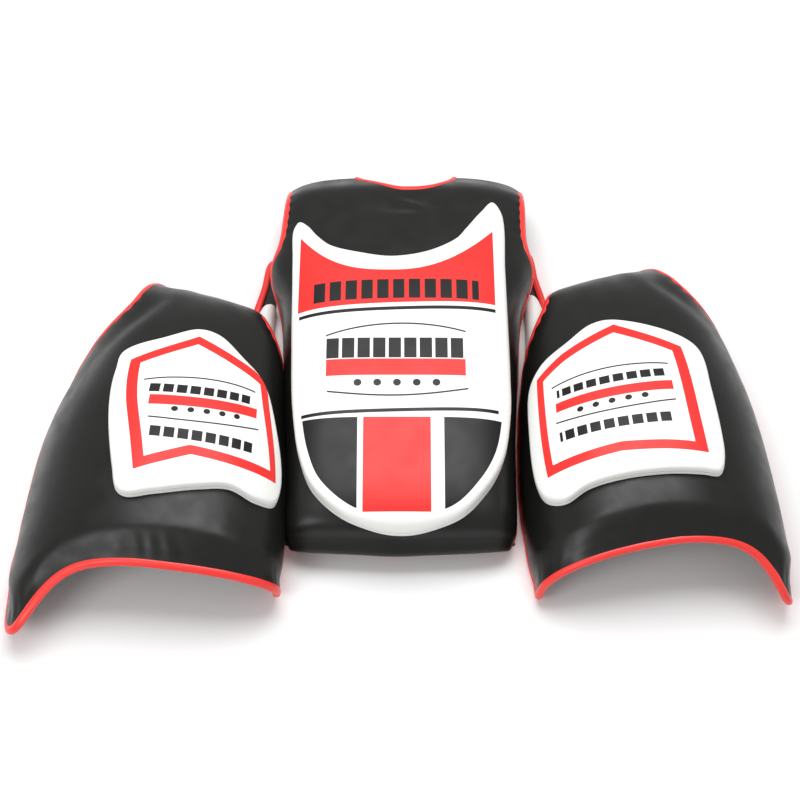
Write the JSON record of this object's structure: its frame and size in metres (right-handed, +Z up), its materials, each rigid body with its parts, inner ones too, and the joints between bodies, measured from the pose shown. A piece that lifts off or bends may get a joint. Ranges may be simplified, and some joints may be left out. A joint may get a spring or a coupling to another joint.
{
  "type": "coach's belly pad set with two thigh pads",
  "caption": "Curved leather belly pad with a raised strike shield, folding rib wings and straps, laid out with two matching thigh pads.",
  "frame": {"origin": "bottom centre of the whole set's box, on the surface the pads lie on", "axes": "+Z up from the table, +Y from the hems to the shoulders, +X to the right when seen from the hem side with the front faces up"},
  "size_m": [1.0335, 0.7167, 0.1656],
  "materials": {
    "black_leather": "smooth grained synthetic leather with a soft sheen",
    "foam": "closed-cell foam, hidden",
    "black_lining": "plain woven lining, matt",
    "red_binding": "folded bias tape, satin, stitched along its middle",
    "white_leather": "smooth synthetic leather with flat printed colour fields",
    "black_webbing": "plain woven webbing, matt",
    "nickel_wire": "bright plated wire"
  },
  "bodies": {
    "belly_pad": {"belly_cover": "black_leather", "belly_foam": "foam", "belly_lining": "black_lining", "belly_edge_binding": "red_binding", "belly_neck_binding": "red_binding", "belly_shield_cover": "white_leather", "belly_shield_foam": "foam", "left_shoulder_flap": "black_leather", "right_shoulder_flap": "black_leather", "left_shoulder_strap_keeper": "black_webbing", "left_shoulder_strap_band": "black_webbing", "right_shoulder_strap_keeper": "black_webbing", "right_shoulder_strap_band": "black_webbing", "waist_strap_keeper": "black_webbing", "waist_strap_band": "black_webbing"},
    "left_rib_wing": {"left_rib_wing_base": "black_leather", "left_rib_wing_cover": "white_leather", "left_rib_wing_foam": "foam"},
    "left_thigh_pad": {"left_thigh_cover": "black_leather", "left_thigh_foam": "foam", "left_thigh_lining": "black_lining", "left_thigh_binding": "red_binding", "left_thigh_badge_cover": "white_leather", "left_thigh_badge_foam": "foam", "left_thigh_belt_loop": "black_webbing", "left_thigh_lower_keeper": "black_webbing", "left_thigh_lower_band": "black_webbing", "left_thigh_upper_keeper": "black_webbing", "left_thigh_upper_band": "black_webbing"},
    "right_rib_wing": {"right_rib_wing_base": "black_leather", "right_rib_wing_cover": "white_leather", "right_rib_wing_foam": "foam"},
    "right_thigh_pad": {"right_thigh_cover": "black_leather", "right_thigh_foam": "foam", "right_thigh_lining": "black_lining", "right_thigh_binding": "red_binding", "right_thigh_badge_cover": "white_leather", "right_thigh_badge_foam": "foam", "right_thigh_belt_loop": "black_webbing", "right_thigh_lower_keeper": "black_webbing", "right_thigh_lower_band": "black_webbing", "right_thigh_upper_keeper": "black_webbing", "right_thigh_upper_band": "black_webbing"},
    "left_shoulder_strap_ring": {"left_shoulder_strap_ring": "nickel_wire"},
    "left_shoulder_strap_tab": {"left_shoulder_strap_tab": "black_webbing"},
    "right_shoulder_strap_ring": {"right_shoulder_strap_ring": "nickel_wire"},
    "right_shoulder_strap_tab": {"right_shoulder_strap_tab": "black_webbing"},
    "waist_strap_ring": {"waist_strap_ring": "nickel_wire"},
    "waist_strap_tab": {"waist_strap_tab": "black_webbing"},
    "left_thigh_lower_ring": {"left_thigh_lower_ring": "nickel_wire"},
    "left_thigh_lower_tab": {"left_thigh_lower_tab": "black_webbing"},
    "left_thigh_upper_ring": {"left_thigh_upper_ring": "nickel_wire"},
    "left_thigh_upper_tab": {"left_thigh_upper_tab": "black_webbing"},
    "right_thigh_lower_ring": {"right_thigh_lower_ring": "nickel_wire"},
    "right_thigh_lower_tab": {"right_thigh_lower_tab": "black_webbing"},
    "right_thigh_upper_ring": {"right_thigh_upper_ring": "nickel_wire"},
    "right_thigh_upper_tab": {"right_thigh_upper_tab": "black_webbing"}
  },
  "joints": [
    {"name": "left_rib_wing_fold", "type": "hinge", "parent": "belly_pad", "child": "left_rib_wing", "pos_m": [-0.179, 0.1, 0.0012], "axis": [0, 1, 0], "range_deg": [-70, 0]},
    {"name": "right_rib_wing_fold", "type": "hinge", "parent": "belly_pad", "child": "right_rib_wing", "pos_m": [0.179, 0.116, 0.0012], "axis": [0, -1, 0], "range_deg": [-70, 0]},
    {"name": "left_thigh_pad_lift_off", "type": "slide", "parent": "belly_pad", "child": "left_thigh_pad", "axis": [-1, 0, 0], "range_m": [0, 0.25]},
    {"name": "right_thigh_pad_lift_off", "type": "slide", "parent": "belly_pad", "child": "right_thigh_pad", "axis": [1, 0, 0], "range_m": [0, 0.25]},
    {"name": "left_shoulder_strap_ring_swing", "type": "hinge", "parent": "belly_pad", "child": "left_shoulder_strap_ring", "pos_m": [-0.075, 0.1285, 0.0045], "axis": [1, 0, 0], "range_deg": [0, 15]},
    {"name": "left_shoulder_strap_tab_peel", "type": "hinge", "parent": "left_shoulder_strap_ring", "child": "left_shoulder_strap_tab", "pos_m": [-0.075, 0.1525, 0.0045], "axis": [1, 0, 0], "range_deg": [0, 30]},
    {"name": "right_shoulder_strap_ring_swing", "type": "hinge", "parent": "belly_pad", "child": "right_shoulder_strap_ring", "pos_m": [0.075, 0.1285, 0.0045], "axis": [1, 0, 0], "range_deg": [0, 15]},
    {"name": "right_shoulder_strap_tab_peel", "type": "hinge", "parent": "right_shoulder_strap_ring", "child": "right_shoulder_strap_tab", "pos_m": [0.075, 0.1525, 0.0045], "axis": [1, 0, 0], "range_deg": [0, 30]},
    {"name": "waist_strap_ring_swing", "type": "hinge", "parent": "belly_pad", "child": "waist_strap_ring", "pos_m": [-0.03, -0.0335, 0.0045], "axis": [0, -1, 0], "range_deg": [0, 15]},
    {"name": "waist_strap_tab_peel", "type": "hinge", "parent": "waist_strap_ring", "child": "waist_strap_tab", "pos_m": [-0.006, -0.0335, 0.0045], "axis": [0, -1, 0], "range_deg": [0, 30]},
    {"name": "left_thigh_lower_ring_swing", "type": "hinge", "parent": "left_thigh_pad", "child": "left_thigh_lower_ring", "pos_m": [-0.38067, -0.16294, 0.0045], "axis": [-0.1564, -0.9877, 0], "range_deg": [0, 25]},
    {"name": "left_thigh_lower_tab_peel", "type": "hinge", "parent": "left_thigh_lower_ring", "child": "left_thigh_lower_tab", "pos_m": [-0.35697, -0.16669, 0.0045], "axis": [-0.1564, -0.9877, 0], "range_deg": [0, 80]},
    {"name": "left_thigh_upper_ring_swing", "type": "hinge", "parent": "left_thigh_pad", "child": "left_thigh_upper_ring", "pos_m": [-0.36425, -0.05923, 0.0045], "axis": [-0.1564, -0.9877, 0], "range_deg": [0, 25]},
    {"name": "left_thigh_upper_tab_peel", "type": "hinge", "parent": "left_thigh_upper_ring", "child": "left_thigh_upper_tab", "pos_m": [-0.34054, -0.06299, 0.0045], "axis": [-0.1564, -0.9877, 0], "range_deg": [0, 80]},
    {"name": "right_thigh_lower_ring_swing", "type": "hinge", "parent": "right_thigh_pad", "child": "right_thigh_lower_ring", "pos_m": [0.38267, -0.13494, 0.0045], "axis": [-0.1564, 0.9877, 0], "range_deg": [0, 25]},
    {"name": "right_thigh_lower_tab_peel", "type": "hinge", "parent": "right_thigh_lower_ring", "child": "right_thigh_lower_tab", "pos_m": [0.35897, -0.13869, 0.0045], "axis": [-0.1564, 0.9877, 0], "range_deg": [0, 80]},
    {"name": "right_thigh_upper_ring_swing", "type": "hinge", "parent": "right_thigh_pad", "child": "right_thigh_upper_ring", "pos_m": [0.36625, -0.03123, 0.0045], "axis": [-0.1564, 0.9877, 0], "range_deg": [0, 25]},
    {"name": "right_thigh_upper_tab_peel", "type": "hinge", "parent": "right_thigh_upper_ring", "child": "right_thigh_upper_tab", "pos_m": [0.34254, -0.03498, 0.0045], "axis": [-0.1564, 0.9877, 0], "range_deg": [0, 80]}
  ]
}
